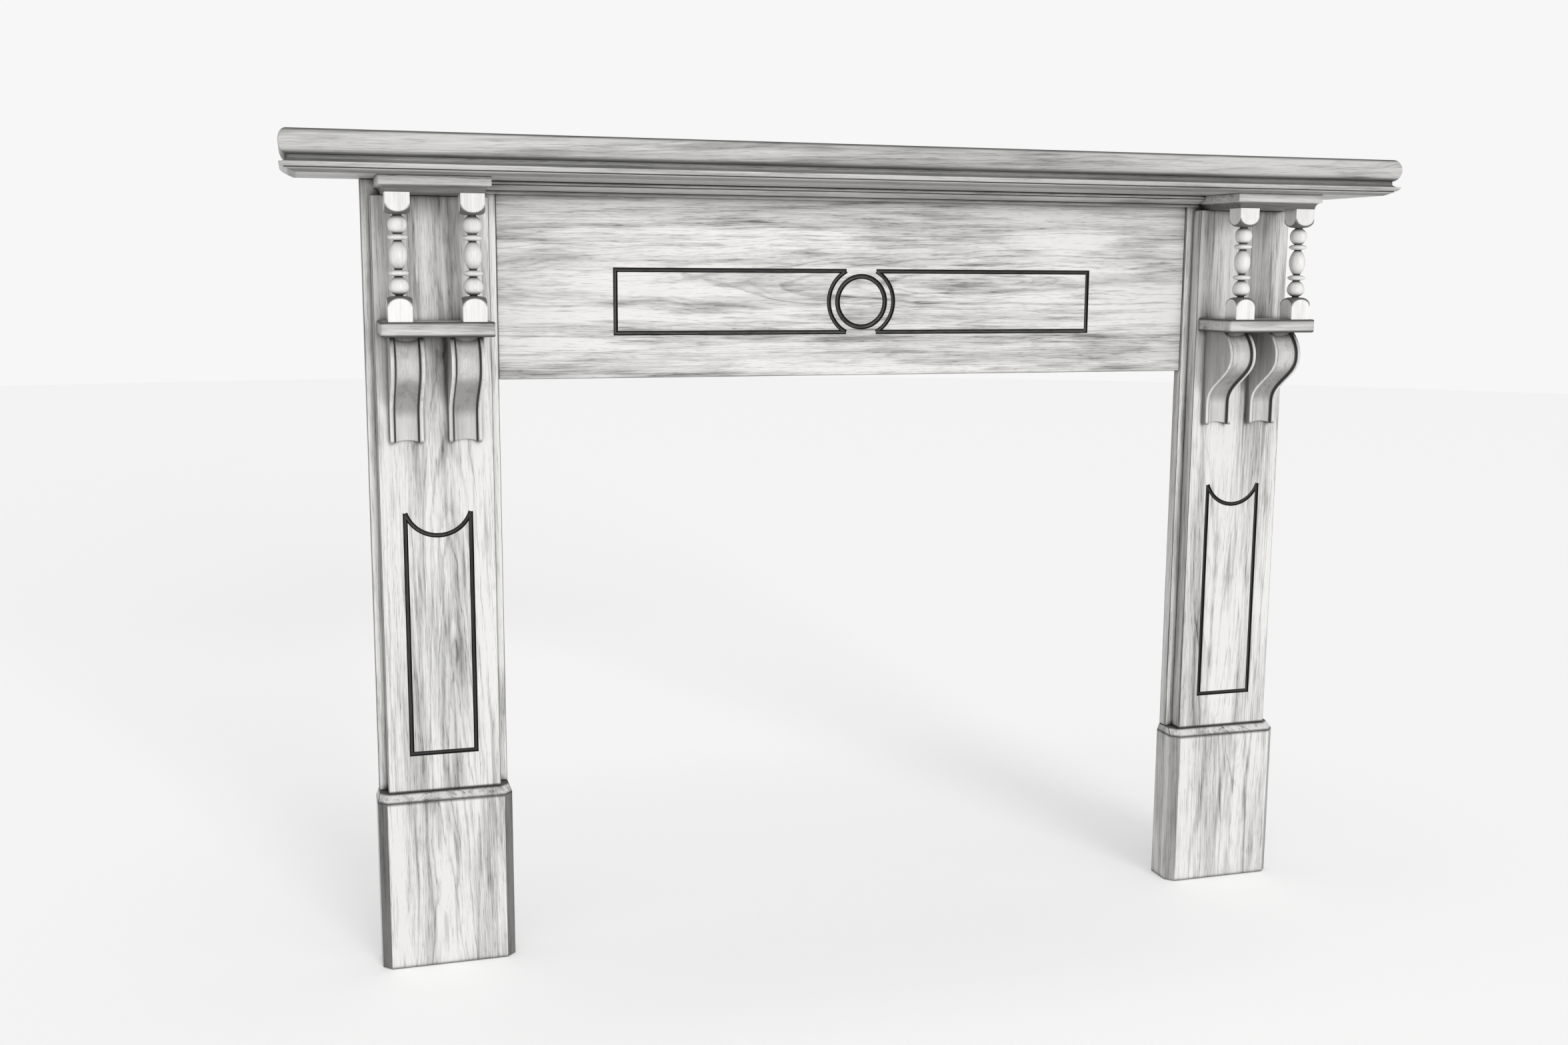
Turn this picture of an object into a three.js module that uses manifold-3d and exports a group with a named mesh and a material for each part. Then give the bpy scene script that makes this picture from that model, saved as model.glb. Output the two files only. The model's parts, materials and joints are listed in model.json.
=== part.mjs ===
// Fireplace mantelpiece in oak.
// Two legs stand on plinth blocks and carry a frieze and a long bullnosed shelf.
// Each leg is a backing stile with a pilaster on its face. Near the top a small shelf sits on
// two fluted S-brackets, and two turned spindles stand on it and hold up a projecting cap.
// Millimetres, +X to the right, +Y towards the wall, +Z up.
// The origin is on the floor, midway along the shelf and midway between its nose and the wall.

import * as THREE from 'three';
import { mergeVertices } from 'three/addons/utils/BufferGeometryUtils.js';
import Module from 'manifold-3d';

const wasm = await Module();
wasm.setup();

// Driving dimensions of the whole mantelpiece
const SHELF_LENGTH = 1720;
const SHELF_DEPTH = 172;
const TOTAL_HEIGHT = 1220;
const LEG_CENTRE = 658;

// Depth of each layer, measured from the wall
const WALL = SHELF_DEPTH / 2;
const STILE_THICKNESS = 20;
const PILASTER_THICKNESS = 24;
const STILE_FACE = WALL - STILE_THICKNESS;
const PILASTER_FACE = STILE_FACE - PILASTER_THICKNESS;
const NOSE = WALL - SHELF_DEPTH;

// Shelf slab and the moulded board under it
const SLAB_THICKNESS = 34;
const SLAB_NOSE_DEPTH = 11;
const BOARD_THICKNESS = 22;
const BOARD_NOSE_DROP = 10;
const BOARD_FILLET = 4;
const BOARD_FILLET_INSET = 10;
const BOARD_UNDERCUT = 19;
const SLAB_BOTTOM = TOTAL_HEIGHT - SLAB_THICKNESS;
const BOARD_BOTTOM = SLAB_BOTTOM - BOARD_THICKNESS;

// Legs
const STILE_WIDTH = 190;
const PILASTER_WIDTH = 165;
const OPENING_EDGE = LEG_CENTRE - STILE_WIDTH / 2;

// Plinth blocks: the top edge is bevelled and the two front corners are chamfered
const PLINTH_WIDTH = 198;
const PLINTH_HEIGHT = 268;
const PLINTH_BEVEL_HEIGHT = 11;
const PLINTH_PROJECTION = 14;
const PLINTH_CHAMFER = 13;

// Frieze, set back a little from the stiles
const FRIEZE_BOTTOM = 878;
const FRIEZE_SETBACK = 3;
const FRIEZE_FACE = STILE_FACE + FRIEZE_SETBACK;

// Incised lines on the frieze: a long rectangle parted by a ring
const GROOVE_WIDTH = 6;
const RING_GROOVE_WIDTH = 7;
const GROOVE_DEPTH = 3.4;
const RECTANGLE_WIDTH = 776;
const RECTANGLE_HEIGHT = 94;
const RECTANGLE_CENTRE = 992;
const RING_RADIUS = 39;
const OUTER_RING_RADIUS = 53;

// Incised panel on each pilaster, with a scooped top
const PANEL_WIDTH = 94;
const PANEL_BOTTOM = 327;
const PANEL_TOP = 688;
const PANEL_SCOOP = 34;

// Caps
const CAP_WIDTH = 152;
const CAP_BOTTOM = 1141;
const CAP_PROJECTION = 125;
const CAP_FASCIA = 13;
const CAP_COVE = 7;
const CAP_STEP = 1;

// Small shelves under the spindles
const SMALL_SHELF_WIDTH = 156;
const SMALL_SHELF_BOTTOM = 945;
const SMALL_SHELF_THICKNESS = 21;
const SMALL_SHELF_PROJECTION = 119;
const SMALL_SHELF_TOP = SMALL_SHELF_BOTTOM + SMALL_SHELF_THICKNESS;
const SMALL_SHELF_EASE = 2;

// Spindles: square blocks at both ends, turned between them
const SPINDLE_BLOCK = 34;
const SPINDLE_OFFSET = 50.5;
const SPINDLE_AXIS = STILE_FACE - 101;
const SPINDLE_SIDES = 12;
const SPINDLE_LOWER_BLOCK = 35;
const SPINDLE_UPPER_BLOCK = 29;
const SPINDLE_SHOULDER = 13;
const SPINDLE_COLLAR = 9;
const SPINDLE_NECK = 7;
const SPINDLE_FIRST_BEAD = 1.5;
const BEAD_GAP = 0.6;

// Beads from the bottom up, as [height, largest radius, steps of their curve]
const LOWER_BALL = [25, 13.2, 6];
const RING = [8.5, 13.8, 4];
const VASE = [39, 12, 6];
const UPPER_BALL = [24.5, 12.6, 6];
const SPINDLE_BEADS = [LOWER_BALL, RING, VASE, RING, UPPER_BALL];

// Brackets: an S-curve with a hollow down the front
const BRACKET_WIDTH = 47;
const BRACKET_OFFSET = 41.5;
const BRACKET_BOTTOM = 790;
const BRACKET_FILLET = 5;
const BRACKET_HOLLOW = 7;
const BRACKET_ARCH = 5;
const BRACKET_TAIL = 13;
const BRACKET_REACH = 79;
const BRACKET_TAIL_TOP = 824;
const BRACKET_BELLY = 908;
const BRACKET_CROWN_DROP = 22;

// Bed mould across the top of the frieze
const BED_MOULD_HEIGHT = 18;
const BED_MOULD_PROJECTION = 27;
const BED_MOULD_ROUND = 6;

// Gap left between the ends of the bed mould and the caps
const JOINT_GAP = 0.3;

// Materials: pale limed oak, a little darker on the shelf and its mouldings
const shelfOak = new THREE.MeshStandardMaterial({ color: 0xb0aca5, roughness: 0.6, metalness: 0 });
const boardOak = new THREE.MeshStandardMaterial({ color: 0xc4c0b9, roughness: 0.6, metalness: 0 });
const carvedOak = new THREE.MeshStandardMaterial({ color: 0xc4c0b9, roughness: 0.6, metalness: 0 });
const turnedOak = new THREE.MeshStandardMaterial({ color: 0xcfcbc4, roughness: 0.5, metalness: 0 });

const mantelpiece = new THREE.Group();

function addMesh(name, geometry, material, position = [0, 0, 0]) {
  const mesh = new THREE.Mesh(geometry, material);
  mesh.name = name;
  mesh.position.set(...position);
  mantelpiece.add(mesh);
}

// Skins rings of points that have the same count, and closes both ends.
// flatten turns a ring's point into two numbers in the plane of the end faces.
function loft(rings, flatten) {
  const count = rings[0].length;
  const last = (rings.length - 1) * count;
  const indices = [];
  for (let ring = 0; ring < last; ring += count) {
    for (let i = 0; i < count; i += 1) {
      const a = ring + i;
      const b = ring + ((i + 1) % count);
      indices.push(a, b, b + count, a, b + count, a + count);
    }
  }
  for (const [a, b, c] of endFaces(rings[0].map(flatten))) indices.push(a, c, b);
  for (const [a, b, c] of endFaces(rings.at(-1).map(flatten))) indices.push(last + a, last + b, last + c);
  return facingOut(rings.flat(2), indices);
}

// Triangles over a flat outline, each with the same turning sense as the outline.
function endFaces(outline) {
  const points = outline.map(([u, v]) => new THREE.Vector2(u, v));
  const turn = Math.sign(THREE.ShapeUtils.area(points));
  return THREE.ShapeUtils.triangulateShape(points, []).map(([a, b, c]) => {
    const sense = Math.sign(THREE.ShapeUtils.area([points[a], points[b], points[c]]));
    return sense === turn ? [a, b, c] : [a, c, b];
  });
}

// Makes a closed geometry whose faces point out, whichever way its triangles ran.
function facingOut(positions, indices) {
  const at = (index) => new THREE.Vector3().fromArray(positions, index * 3);
  let volume = 0;
  for (let i = 0; i < indices.length; i += 3) {
    volume += at(indices[i]).dot(at(indices[i + 1]).cross(at(indices[i + 2])));
  }
  if (volume < 0) indices.reverse();
  const geometry = new THREE.BufferGeometry();
  geometry.setAttribute('position', new THREE.Float32BufferAttribute(positions, 3));
  geometry.setIndex(indices);
  return geometry;
}

function toSolid(geometry) {
  const plain = geometry.clone();
  plain.deleteAttribute('normal');
  plain.deleteAttribute('uv');
  const merged = mergeVertices(plain);
  const closed = facingOut([...merged.attributes.position.array], [...merged.index.array]);
  return new wasm.Manifold(new wasm.Mesh({
    numProp: 3,
    vertProperties: closed.attributes.position.array,
    triVerts: new Uint32Array(closed.index.array),
  }));
}

function fromSolid(solid) {
  const mesh = solid.getMesh();
  const geometry = new THREE.BufferGeometry();
  geometry.setAttribute('position', new THREE.Float32BufferAttribute(mesh.vertProperties, 3));
  geometry.setIndex([...mesh.triVerts]);
  return geometry;
}

function box([x0, y0, z0], [x1, y1, z1]) {
  const geometry = new THREE.BoxGeometry(x1 - x0, y1 - y0, z1 - z0);
  return geometry.translate((x0 + x1) / 2, (y0 + y1) / 2, (z0 + z1) / 2);
}

// A board against the wall side at back, whose front and two ends follow one moulded profile.
// levels lists [height, inset] from the bottom up.
function profiledBoard(halfWidth, front, back, levels) {
  const rings = levels.map(([z, inset]) => [
    [-halfWidth + inset, back, z],
    [-halfWidth + inset, front + inset, z],
    [halfWidth - inset, front + inset, z],
    [halfWidth - inset, back, z],
  ]);
  return loft(rings, ([x, y]) => [x, y]);
}

// Cutters for V-grooves reach this far out of the face that they cut.
const CUTTER_CLEARANCE = 1;

// Half the width that a cutter has there, for a groove's width at the face.
function cutterReach(grooveWidth) {
  return (grooveWidth / 2) * (1 + CUTTER_CLEARANCE / GROOVE_DEPTH);
}

// Cuts along an open line of [x, z] points on a face that looks to -Y.
function grooveCutter(line, face) {
  const reach = cutterReach(GROOVE_WIDTH);
  const points = line.map(([x, z]) => new THREE.Vector2(x, z));
  const direction = (i) => points[i + 1].clone().sub(points[i]).normalize();
  const rings = points.map((point, i) => {
    const before = direction(Math.max(i - 1, 0));
    const after = direction(Math.min(i, points.length - 2));
    const normal = new THREE.Vector2(-before.y - after.y, before.x + after.x);
    normal.divideScalar(1 + before.dot(after));
    const left = point.clone().addScaledVector(normal, reach);
    const right = point.clone().addScaledVector(normal, -reach);
    return [
      [left.x, face - CUTTER_CLEARANCE, left.y],
      [right.x, face - CUTTER_CLEARANCE, right.y],
      [point.x, face + GROOVE_DEPTH, point.y],
    ];
  });
  const along = direction(0);
  return toSolid(loft(rings, ([x, y, z]) => [z * along.x - x * along.y, y]));
}

// Cuts a full circle about [x, z] on a face that looks to -Y.
function ringCutter([x, z], radius, face) {
  const reach = cutterReach(RING_GROOVE_WIDTH);
  const section = [
    new THREE.Vector2(radius - reach, -CUTTER_CLEARANCE),
    new THREE.Vector2(radius + reach, -CUTTER_CLEARANCE),
    new THREE.Vector2(radius, GROOVE_DEPTH),
    new THREE.Vector2(radius - reach, -CUTTER_CLEARANCE),
  ];
  return toSolid(new THREE.LatheGeometry(section, 32).translate(x, face, z));
}

// Points on a circle in the face's plane, between two angles in radians.
function arcLine([x, z], radius, from, to, steps) {
  return Array.from({ length: steps + 1 }, (_, i) => {
    const angle = from + ((to - from) * i) / steps;
    return [x + radius * Math.cos(angle), z + radius * Math.sin(angle)];
  });
}

function shelfSlab() {
  const steps = 8;
  const half = SLAB_THICKNESS / 2;
  const levels = Array.from({ length: steps + 1 }, (_, i) => {
    const angle = -Math.PI / 2 + (Math.PI * i) / steps;
    return [SLAB_BOTTOM + half + half * Math.sin(angle), SLAB_NOSE_DEPTH * (1 - Math.cos(angle))];
  });
  return profiledBoard(SHELF_LENGTH / 2, NOSE, WALL, levels);
}

// A hollowed underside swells to a nose, and a slope runs back from it to a fillet.
function shelfMoulding() {
  const steps = 5;
  const noseHeight = BOARD_THICKNESS - BOARD_NOSE_DROP;
  const underside = Array.from({ length: steps + 1 }, (_, i) => {
    const fall = 1 - i / steps;
    return [BOARD_BOTTOM + noseHeight * (1 - fall), BOARD_UNDERCUT * fall ** 1.5];
  });
  const levels = [
    ...underside,
    [SLAB_BOTTOM - BOARD_NOSE_DROP + 1.5, 2],
    [SLAB_BOTTOM - BOARD_FILLET, BOARD_FILLET_INSET],
    [SLAB_BOTTOM, BOARD_FILLET_INSET],
  ];
  return profiledBoard(SHELF_LENGTH / 2, NOSE, WALL, levels);
}

function cap() {
  const steps = 4;
  const coveHeight = BOARD_BOTTOM - CAP_FASCIA - CAP_BOTTOM;
  const cove = Array.from({ length: steps + 1 }, (_, i) => {
    const angle = (Math.PI / 2) * (i / steps);
    return [CAP_BOTTOM + coveHeight * Math.sin(angle), CAP_STEP + CAP_COVE * Math.cos(angle)];
  });
  const levels = [...cove, [BOARD_BOTTOM - CAP_FASCIA, 0], [BOARD_BOTTOM, 0]];
  return profiledBoard(CAP_WIDTH / 2, STILE_FACE - CAP_PROJECTION, STILE_FACE, levels);
}

function smallShelf() {
  const levels = [
    [SMALL_SHELF_BOTTOM, SMALL_SHELF_EASE],
    [SMALL_SHELF_BOTTOM + SMALL_SHELF_EASE, 0],
    [SMALL_SHELF_TOP - SMALL_SHELF_EASE, 0],
    [SMALL_SHELF_TOP, SMALL_SHELF_EASE],
  ];
  const front = STILE_FACE - SMALL_SHELF_PROJECTION;
  return profiledBoard(SMALL_SHELF_WIDTH / 2, front, PILASTER_FACE, levels);
}

function plinth() {
  const outline = (halfWidth, front, z) => [
    [-halfWidth, WALL, z],
    [-halfWidth, front + PLINTH_CHAMFER, z],
    [-halfWidth + PLINTH_CHAMFER, front, z],
    [halfWidth - PLINTH_CHAMFER, front, z],
    [halfWidth, front + PLINTH_CHAMFER, z],
    [halfWidth, WALL, z],
  ];
  const front = PILASTER_FACE - PLINTH_PROJECTION;
  const rings = [
    outline(PLINTH_WIDTH / 2, front, 0),
    outline(PLINTH_WIDTH / 2, front, PLINTH_HEIGHT - PLINTH_BEVEL_HEIGHT),
    outline(STILE_WIDTH / 2, PILASTER_FACE, PLINTH_HEIGHT),
  ];
  return loft(rings, ([x, y]) => [x, y]);
}

function stile() {
  const half = STILE_WIDTH / 2;
  return box([-half, STILE_FACE, PLINTH_HEIGHT], [half, WALL, BOARD_BOTTOM]);
}

// The panel's line: down one side, along the bottom and up the other, then the scooped top.
function pilaster() {
  const half = PANEL_WIDTH / 2;
  const scoopRadius = (half * half + PANEL_SCOOP * PANEL_SCOOP) / (2 * PANEL_SCOOP);
  const scoopCentre = PANEL_TOP - PANEL_SCOOP + scoopRadius;
  const scoopAngle = Math.asin(half / scoopRadius);
  const sides = [[-half, PANEL_TOP], [-half, PANEL_BOTTOM], [half, PANEL_BOTTOM], [half, PANEL_TOP]];
  const down = -Math.PI / 2;
  const scoop = arcLine([0, scoopCentre], scoopRadius, down - scoopAngle, down + scoopAngle, 14);
  const halfWidth = PILASTER_WIDTH / 2;
  const board = box(
    [-halfWidth, PILASTER_FACE, PLINTH_HEIGHT],
    [halfWidth, STILE_FACE, CAP_BOTTOM],
  );
  return fromSolid(
    toSolid(board)
      .subtract(grooveCutter(sides, PILASTER_FACE))
      .subtract(grooveCutter(scoop, PILASTER_FACE)),
  );
}

function friezeBoard() {
  const halfWidth = RECTANGLE_WIDTH / 2;
  const halfHeight = RECTANGLE_HEIGHT / 2;
  const top = RECTANGLE_CENTRE + halfHeight;
  const bottom = RECTANGLE_CENTRE - halfHeight;
  const meeting = Math.sqrt(OUTER_RING_RADIUS ** 2 - halfHeight ** 2);
  const spread = Math.acos(meeting / OUTER_RING_RADIUS);
  const centre = [0, RECTANGLE_CENTRE];
  let solid = toSolid(box(
    [-OPENING_EDGE, FRIEZE_FACE, FRIEZE_BOTTOM],
    [OPENING_EDGE, WALL, BOARD_BOTTOM],
  ));
  for (const side of [-1, 1]) {
    const facing = side > 0 ? 0 : Math.PI;
    const frame = [
      [side * meeting, top],
      [side * halfWidth, top],
      [side * halfWidth, bottom],
      [side * meeting, bottom],
    ];
    const bow = arcLine(centre, OUTER_RING_RADIUS, facing - spread, facing + spread, 16);
    solid = solid.subtract(grooveCutter(frame, FRIEZE_FACE));
    solid = solid.subtract(grooveCutter(bow, FRIEZE_FACE));
  }
  return fromSolid(solid.subtract(ringCutter(centre, RING_RADIUS, FRIEZE_FACE)));
}

// A small band against the frieze, an S-curve out to the nose, and a round back under the shelf.
// Its ends are notched over the faces of the stiles.
function bedMould() {
  const bottom = BOARD_BOTTOM - BED_MOULD_HEIGHT;
  const band = 4;
  const noseHeight = 12;
  const steps = 6;
  const curve = Array.from({ length: steps + 1 }, (_, i) => {
    const rise = i / steps;
    const forward = band + (BED_MOULD_PROJECTION - band) * THREE.MathUtils.smoothstep(rise, 0, 1);
    return [FRIEZE_FACE - forward, bottom + band + (noseHeight - band) * rise];
  });
  const round = Array.from({ length: 3 }, (_, i) => {
    const angle = (Math.PI / 2) * ((i + 1) / 3);
    const forward = BED_MOULD_PROJECTION - BED_MOULD_ROUND * (1 - Math.cos(angle));
    return [FRIEZE_FACE - forward, bottom + noseHeight + (BED_MOULD_HEIGHT - noseHeight) * Math.sin(angle)];
  });
  const section = [[FRIEZE_FACE, bottom], [FRIEZE_FACE - band, bottom], ...curve, ...round];
  section.push([FRIEZE_FACE, BOARD_BOTTOM]);
  const end = LEG_CENTRE - CAP_WIDTH / 2 - JOINT_GAP;
  const rings = [-end, end].map((x) => section.map(([y, z]) => [x, y, z]));
  const full = toSolid(loft(rings, ([, y, z]) => [y, z]));
  const notch = (x0, x1) => toSolid(box([x0, STILE_FACE, bottom - 1], [x1, WALL, BOARD_BOTTOM + 1]));
  return fromSolid(full.subtract(notch(-end - 1, -OPENING_EDGE)).subtract(notch(OPENING_EDGE, end + 1)));
}

// One turned bead as [radius, height] points, round in section and cut off at the neck.
function turnedBead(bottom, height, belly, steps) {
  const reach = Math.acos(SPINDLE_NECK / belly);
  return Array.from({ length: steps + 1 }, (_, i) => {
    const angle = -reach + (2 * reach * i) / steps;
    return [belly * Math.cos(angle), bottom + (height / 2) * (1 + Math.sin(angle) / Math.sin(reach))];
  });
}

// The square blocks are cut by the turned outline, which leaves their arched shoulders.
function spindle() {
  const half = SPINDLE_BLOCK / 2;
  const length = CAP_BOTTOM - SMALL_SHELF_TOP;
  const full = (half * Math.SQRT2) / Math.cos(Math.PI / SPINDLE_SIDES) + 0.5;
  const shoulderSteps = 3;
  const shoulder = Array.from({ length: shoulderSteps + 1 }, (_, i) => {
    const angle = (Math.PI / 2) * (i / shoulderSteps);
    return [SPINDLE_COLLAR + (full - SPINDLE_COLLAR) * Math.cos(angle), SPINDLE_SHOULDER * Math.sin(angle)];
  });
  const outline = [[0, 0], [full, 0]];
  outline.push(...shoulder.map(([r, z]) => [r, SPINDLE_LOWER_BLOCK - SPINDLE_SHOULDER + z]));
  outline.push([SPINDLE_NECK, SPINDLE_LOWER_BLOCK]);
  let height = SPINDLE_LOWER_BLOCK + SPINDLE_FIRST_BEAD;
  for (const [tall, belly, steps] of SPINDLE_BEADS) {
    outline.push(...turnedBead(height, tall, belly, steps));
    height += tall + BEAD_GAP;
  }
  const top = length - SPINDLE_UPPER_BLOCK;
  outline.push([SPINDLE_NECK, top]);
  outline.push(...shoulder.reverse().map(([r, z]) => [r, top + SPINDLE_SHOULDER - z]));
  outline.push([full, length], [0, length]);
  const profile = outline.map(([r, z]) => new THREE.Vector2(r, z));
  const turned = new THREE.LatheGeometry(profile, SPINDLE_SIDES).rotateX(Math.PI / 2);
  const square = box([-half, -half, 0], [half, half, length]);
  return fromSolid(toSolid(turned).intersect(toSolid(square)));
}

// How far the bracket's edge stands out from the pilaster at a height.
function bracketReach(z) {
  const rise = THREE.MathUtils.smootherstep(z, BRACKET_TAIL_TOP, BRACKET_BELLY);
  const crown = Math.max(z - BRACKET_BELLY, 0) / (SMALL_SHELF_BOTTOM - BRACKET_BELLY);
  return BRACKET_TAIL + (BRACKET_REACH - BRACKET_TAIL) * rise - BRACKET_CROWN_DROP * crown ** 2;
}

// Side-on slices from one side to the other, with the hollow between two flat fillets.
function bracket() {
  const half = BRACKET_WIDTH / 2;
  const inner = half - BRACKET_FILLET;
  const hollowColumns = [-1, -0.75, -0.4, 0, 0.4, 0.75, 1].map((part) => part * inner);
  const columns = [-half, ...hollowColumns, half];
  const steps = 18;
  const rings = columns.map((x) => {
    const hollow = BRACKET_HOLLOW * Math.max(1 - (x / inner) ** 2, 0);
    const foot = BRACKET_BOTTOM + BRACKET_ARCH * Math.max(1 - (x / half) ** 2, 0);
    const front = Array.from({ length: steps + 1 }, (_, i) => {
      const z = foot + ((SMALL_SHELF_BOTTOM - foot) * i) / steps;
      return [x, PILASTER_FACE - bracketReach(z) + hollow, z];
    });
    return [[x, PILASTER_FACE, foot], ...front, [x, PILASTER_FACE, SMALL_SHELF_BOTTOM]];
  });
  return loft(rings, ([, y, z]) => [y, z]);
}

addMesh('shelf_slab', shelfSlab(), shelfOak);
addMesh('shelf_moulding', shelfMoulding(), shelfOak);
addMesh('frieze_board', friezeBoard(), boardOak);
addMesh('bed_mould', bedMould(), shelfOak);

for (const [side, sign] of [['left', -1], ['right', 1]]) {
  const x = sign * LEG_CENTRE;
  addMesh(`${side}_plinth`, plinth(), boardOak, [x, 0, 0]);
  addMesh(`${side}_stile`, stile(), boardOak, [x, 0, 0]);
  addMesh(`${side}_pilaster`, pilaster(), boardOak, [x, 0, 0]);
  addMesh(`${side}_cap`, cap(), shelfOak, [x, 0, 0]);
  addMesh(`${side}_small_shelf`, smallShelf(), shelfOak, [x, 0, 0]);
  for (const [place, away] of [['outer', sign], ['inner', -sign]]) {
    const spindleX = x + away * SPINDLE_OFFSET;
    const bracketX = x + away * BRACKET_OFFSET;
    addMesh(`${side}_spindle_${place}`, spindle(), turnedOak, [spindleX, SPINDLE_AXIS, SMALL_SHELF_TOP]);
    addMesh(`${side}_bracket_${place}`, bracket(), carvedOak, [bracketX, 0, 0]);
  }
}

export default mantelpiece;
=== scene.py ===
"""The looks of an oak fireplace mantelpiece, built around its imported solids.

Each piece stands in the place of one solid and takes its size from it. It keeps the solid's form
and adds what the solid is too plain for: eased edges, full curves, fine carving and oak grain.
"""

import json
import math
import random

import bmesh
import bpy
from mathutils import Matrix, Vector


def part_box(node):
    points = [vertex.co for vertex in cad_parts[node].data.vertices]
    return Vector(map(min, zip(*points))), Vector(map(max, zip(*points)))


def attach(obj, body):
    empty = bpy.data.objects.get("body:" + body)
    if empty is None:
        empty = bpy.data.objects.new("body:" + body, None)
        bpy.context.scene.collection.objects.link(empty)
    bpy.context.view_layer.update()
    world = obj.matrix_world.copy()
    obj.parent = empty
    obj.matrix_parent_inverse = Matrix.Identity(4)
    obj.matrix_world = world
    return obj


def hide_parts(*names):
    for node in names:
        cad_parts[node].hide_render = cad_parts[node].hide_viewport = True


MM = 0.001
MERGED = 0.01 * MM

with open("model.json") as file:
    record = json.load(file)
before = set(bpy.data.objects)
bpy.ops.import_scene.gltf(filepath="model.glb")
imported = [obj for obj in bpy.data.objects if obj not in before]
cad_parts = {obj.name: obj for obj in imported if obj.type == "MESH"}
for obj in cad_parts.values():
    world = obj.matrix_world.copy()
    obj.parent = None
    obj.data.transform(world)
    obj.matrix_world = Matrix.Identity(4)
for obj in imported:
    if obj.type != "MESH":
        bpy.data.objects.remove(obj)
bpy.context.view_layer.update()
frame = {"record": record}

SIDES = {"left": -1, "right": 1}
PLACES = ("outer", "inner")

# Sizes that a solid's box doesn't give, in metres
BEVEL = 1.5 * MM
ARRIS_WIDTH = 1 * MM
SLAB_NOSE_DEPTH = 11 * MM
MITRE_ROUND = 1.5 * MM
MITRE_RUN = 3 * MM
MITRE_STEPS = 4
MOULDING_NOSE_DROP = 10 * MM
MOULDING_FILLET = 4 * MM
MOULDING_FILLET_INSET = 10 * MM
MOULDING_UNDERCUT = 19 * MM
MOULDING_STEPS = 16
MOULDING_QUIRK_STEP = 8
CAP_FASCIA = 13 * MM
CAP_COVE = 7 * MM
CAP_STEP = 1 * MM
SMALL_SHELF_EASE = 2 * MM
SMALL_SHELF_CORNER = 4 * MM
PLINTH_CHAMFER = 13 * MM
PLINTH_BEVEL_HEIGHT = 11 * MM
GROOVE_WIDTH = 6 * MM
RING_GROOVE_WIDTH = 7 * MM
GROOVE_DEPTH = 3.6 * MM
GROOVE_LIP = 0.5 * MM
FRIEZE_LINES = {"half_width": 388 * MM, "half_height": 47 * MM, "centre": 992 * MM}
RING_RADIUS = 39 * MM
OUTER_RING_RADIUS = 53 * MM
PANEL_LINES = {"half_width": 47 * MM, "bottom": 327 * MM, "top": 688 * MM, "scoop": 34 * MM}
FLUTE_FILLET = 6 * MM
BED_MOULD_BAND = 4 * MM
BED_MOULD_NOSE = 12 * MM
BED_MOULD_SLOT = 0.8 * MM
SPINDLE_LOWER_BLOCK = 35 * MM
SPINDLE_UPPER_BLOCK = 29 * MM
SPINDLE_SHOULDER = 14 * MM
SPINDLE_COLLAR = 9 * MM
SPINDLE_NECK = 6 * MM
SPINDLE_WAIST = 5 * MM
SPINDLE_GAP = 0.6 * MM
SPINDLE_FIRST_BEAD = 1.5 * MM

# A spindle is turned from this many times half its block's width, just past the block's corners
BLOCK_CORNER = 1.45
SHOULDER_SWEEP = 1.15

# How far the painted shade reaches from a corner between pieces, and from an edge
OCCLUSION_SHADE_REACH = 11 * MM
SHADE_BAND = 4.5 * MM

# Faces larger than this, in square metres, are shaded flat
FLAT_AREA = 0.004

# Edges that turn by more than this, in degrees, are shaded sharp
SHARP_ANGLE = 38

# Radii between which the painted shade on a spindle's necks and bead ends fades out
NECK_RADII = (5.8 * MM, 7.8 * MM)
BEAD_END_RADII = (7 * MM, 13 * MM)

# How dark the painted shade and glazing are at their darkest, from 0 to 1, in each place
# Painted shade, all but the arris, plinth shoulder and the slab, small shelf, pilaster and plinth
# faces
SHADE_AND_GLAZING = {
    "arris": 0.75,
    "slab face": 0.09,
    "slab bottom": 0.8,
    "slab top": 0.85,
    "moulding cove": 0.6,
    "moulding top": 0.9,
    "moulding underside": 0.25,
    "moulding rim": 0.35,
    "moulding quirk": 0.85,
    "bed mould quirk": 0.7,
    "cap cove": 0.75,
    "small shelf face": 0.02,
    "small shelf flat": 0.2,
    "small shelf rim": 0.7,
    "pilaster face": 0.05,
    "pilaster foot": 0.9,
    "plinth face": 0.07,
    "plinth shoulder": 0.9,
    "plinth foot": 0.8,
    "plinth top": 0.9,
    "left chamfer": 0.8,
    "right chamfer": 0.5,
    "block shoulder": 0.85,
    "bead neck": 0.95,
    "bead end": 0.32,
    "flute quirk": 0.95,
    "flute face": 0.14,
    "flute hollow": 0.52,
    "bracket crown": 0.6,
    "bracket foot": 0.7,
    "bracket flank": 0.3,
}

X, Y, Z = range(3)


# Meshes

def smoothstep(value, low, high):
    part = min(max((value - low) / (high - low), 0), 1)
    return part * part * (3 - 2 * part)


def mesh_object(name, vertices, faces):
    mesh = bpy.data.meshes.new(name)
    mesh.from_pydata([tuple(v) for v in vertices], [], faces)
    built = bmesh.new()
    built.from_mesh(mesh)
    bmesh.ops.remove_doubles(built, verts=built.verts, dist=MERGED)
    bmesh.ops.recalc_face_normals(built, faces=built.faces)
    built.to_mesh(mesh)
    built.free()
    shape = bpy.data.objects.new(name, mesh)
    bpy.context.scene.collection.objects.link(shape)
    return shape


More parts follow.
